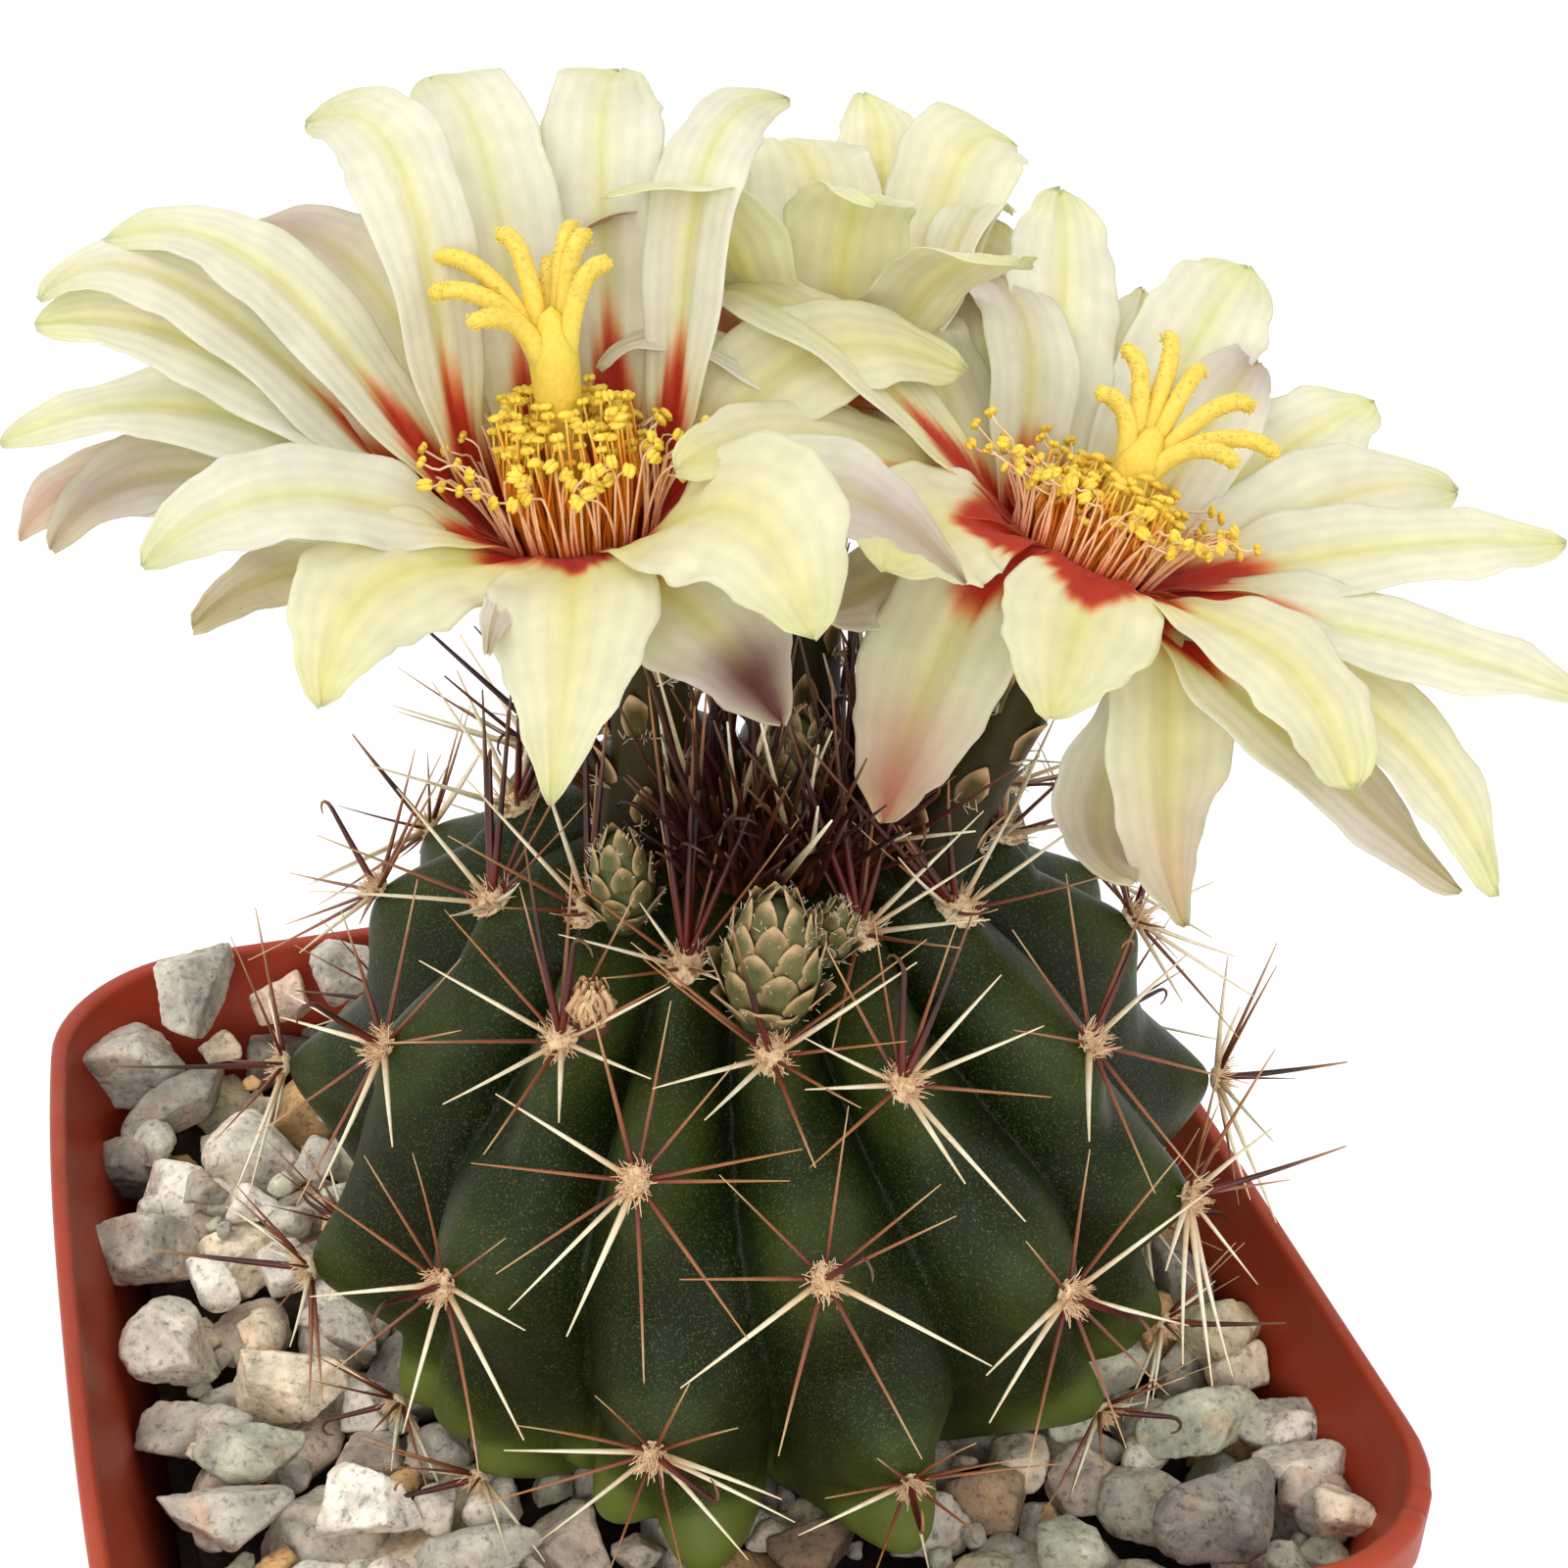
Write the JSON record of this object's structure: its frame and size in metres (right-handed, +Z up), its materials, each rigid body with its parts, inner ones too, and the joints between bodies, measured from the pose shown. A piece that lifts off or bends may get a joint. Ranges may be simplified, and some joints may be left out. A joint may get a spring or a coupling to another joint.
{
  "type": "potted round cactus",
  "caption": "Round ribbed cactus with hooked spines, open pale yellow flowers and buds, in a thin square pot dressed with gravel.",
  "frame": {"origin": "centre of the pot's flat underside", "axes": "+Z up out of the pot, X and Y parallel to the pot's sides, -Y is the side where the lowest ribs face forward and -X is where the left flower opens"},
  "size_m": [0.1062, 0.0963, 0.165],
  "materials": {
    "pot_plastic": "thin moulded polypropylene, terracotta red, low sheen",
    "stem_skin": "waxy dark green skin with fine pale speckles, lighter at the chins",
    "gravel": "angular mixed grey, cream and ochre gravel, dry and rough",
    "potting_mix": "dark brown gritty potting mix",
    "flower_tube": "olive green floral tube with thin pale-edged scales",
    "stigma": "soft yellow style and papillate stigma lobes",
    "stamens": "orange inner and pale pink outer filaments with yellow anthers",
    "petals": "thin silky pale yellow petals, red at the throat, some with pink tips",
    "bud_scales": "grey-green overlapping scales with woolly edges",
    "dry_tissue": "dry papery tan tissue",
    "spines": "ivory radial spines, dark red-brown hooked central spines, cream felt pads"
  },
  "bodies": {
    "root": {"square_pot": "pot_plastic", "cactus_stem": "stem_skin", "stone_01": "gravel", "stone_02": "gravel", "stone_03": "gravel", "stone_04": "gravel", "stone_05": "gravel", "stone_06": "gravel", "stone_07": "gravel", "stone_08": "gravel", "stone_09": "gravel", "stone_10": "gravel", "stone_11": "gravel", "stone_12": "gravel", "stone_13": "gravel", "stone_14": "gravel", "stone_15": "gravel", "stone_16": "gravel", "stone_17": "gravel", "stone_18": "gravel", "stone_19": "gravel", "stone_20": "gravel", "stone_21": "gravel", "stone_22": "gravel", "gravel_bed": "gravel", "potting_mix": "potting_mix", "left_flower_tube": "flower_tube", "left_flower_pistil": "stigma", "left_flower_stamens": "stamens", "left_flower_inner_petals": "petals", "left_flower_outer_petals": "petals", "right_flower_tube": "flower_tube", "right_flower_pistil": "stigma", "right_flower_stamens": "stamens", "right_flower_inner_petals": "petals", "right_flower_outer_petals": "petals", "rear_flower_tube": "flower_tube", "rear_flower_pistil": "stigma", "rear_flower_stamens": "stamens", "rear_flower_inner_petals": "petals", "rear_flower_outer_petals": "petals", "bud_1": "bud_scales", "bud_2": "bud_scales", "bud_3": "bud_scales", "bud_4": "bud_scales", "dried_flower_remnant": "dry_tissue", "spines_rib_01": "spines", "spines_rib_02": "spines", "spines_rib_03": "spines", "spines_rib_04": "spines", "spines_rib_05": "spines", "spines_rib_06": "spines", "spines_rib_07": "spines", "spines_rib_08": "spines", "spines_rib_09": "spines", "spines_rib_10": "spines", "spines_rib_11": "spines", "spines_rib_12": "spines", "spines_rib_13": "spines"}
  },
  "joints": []
}
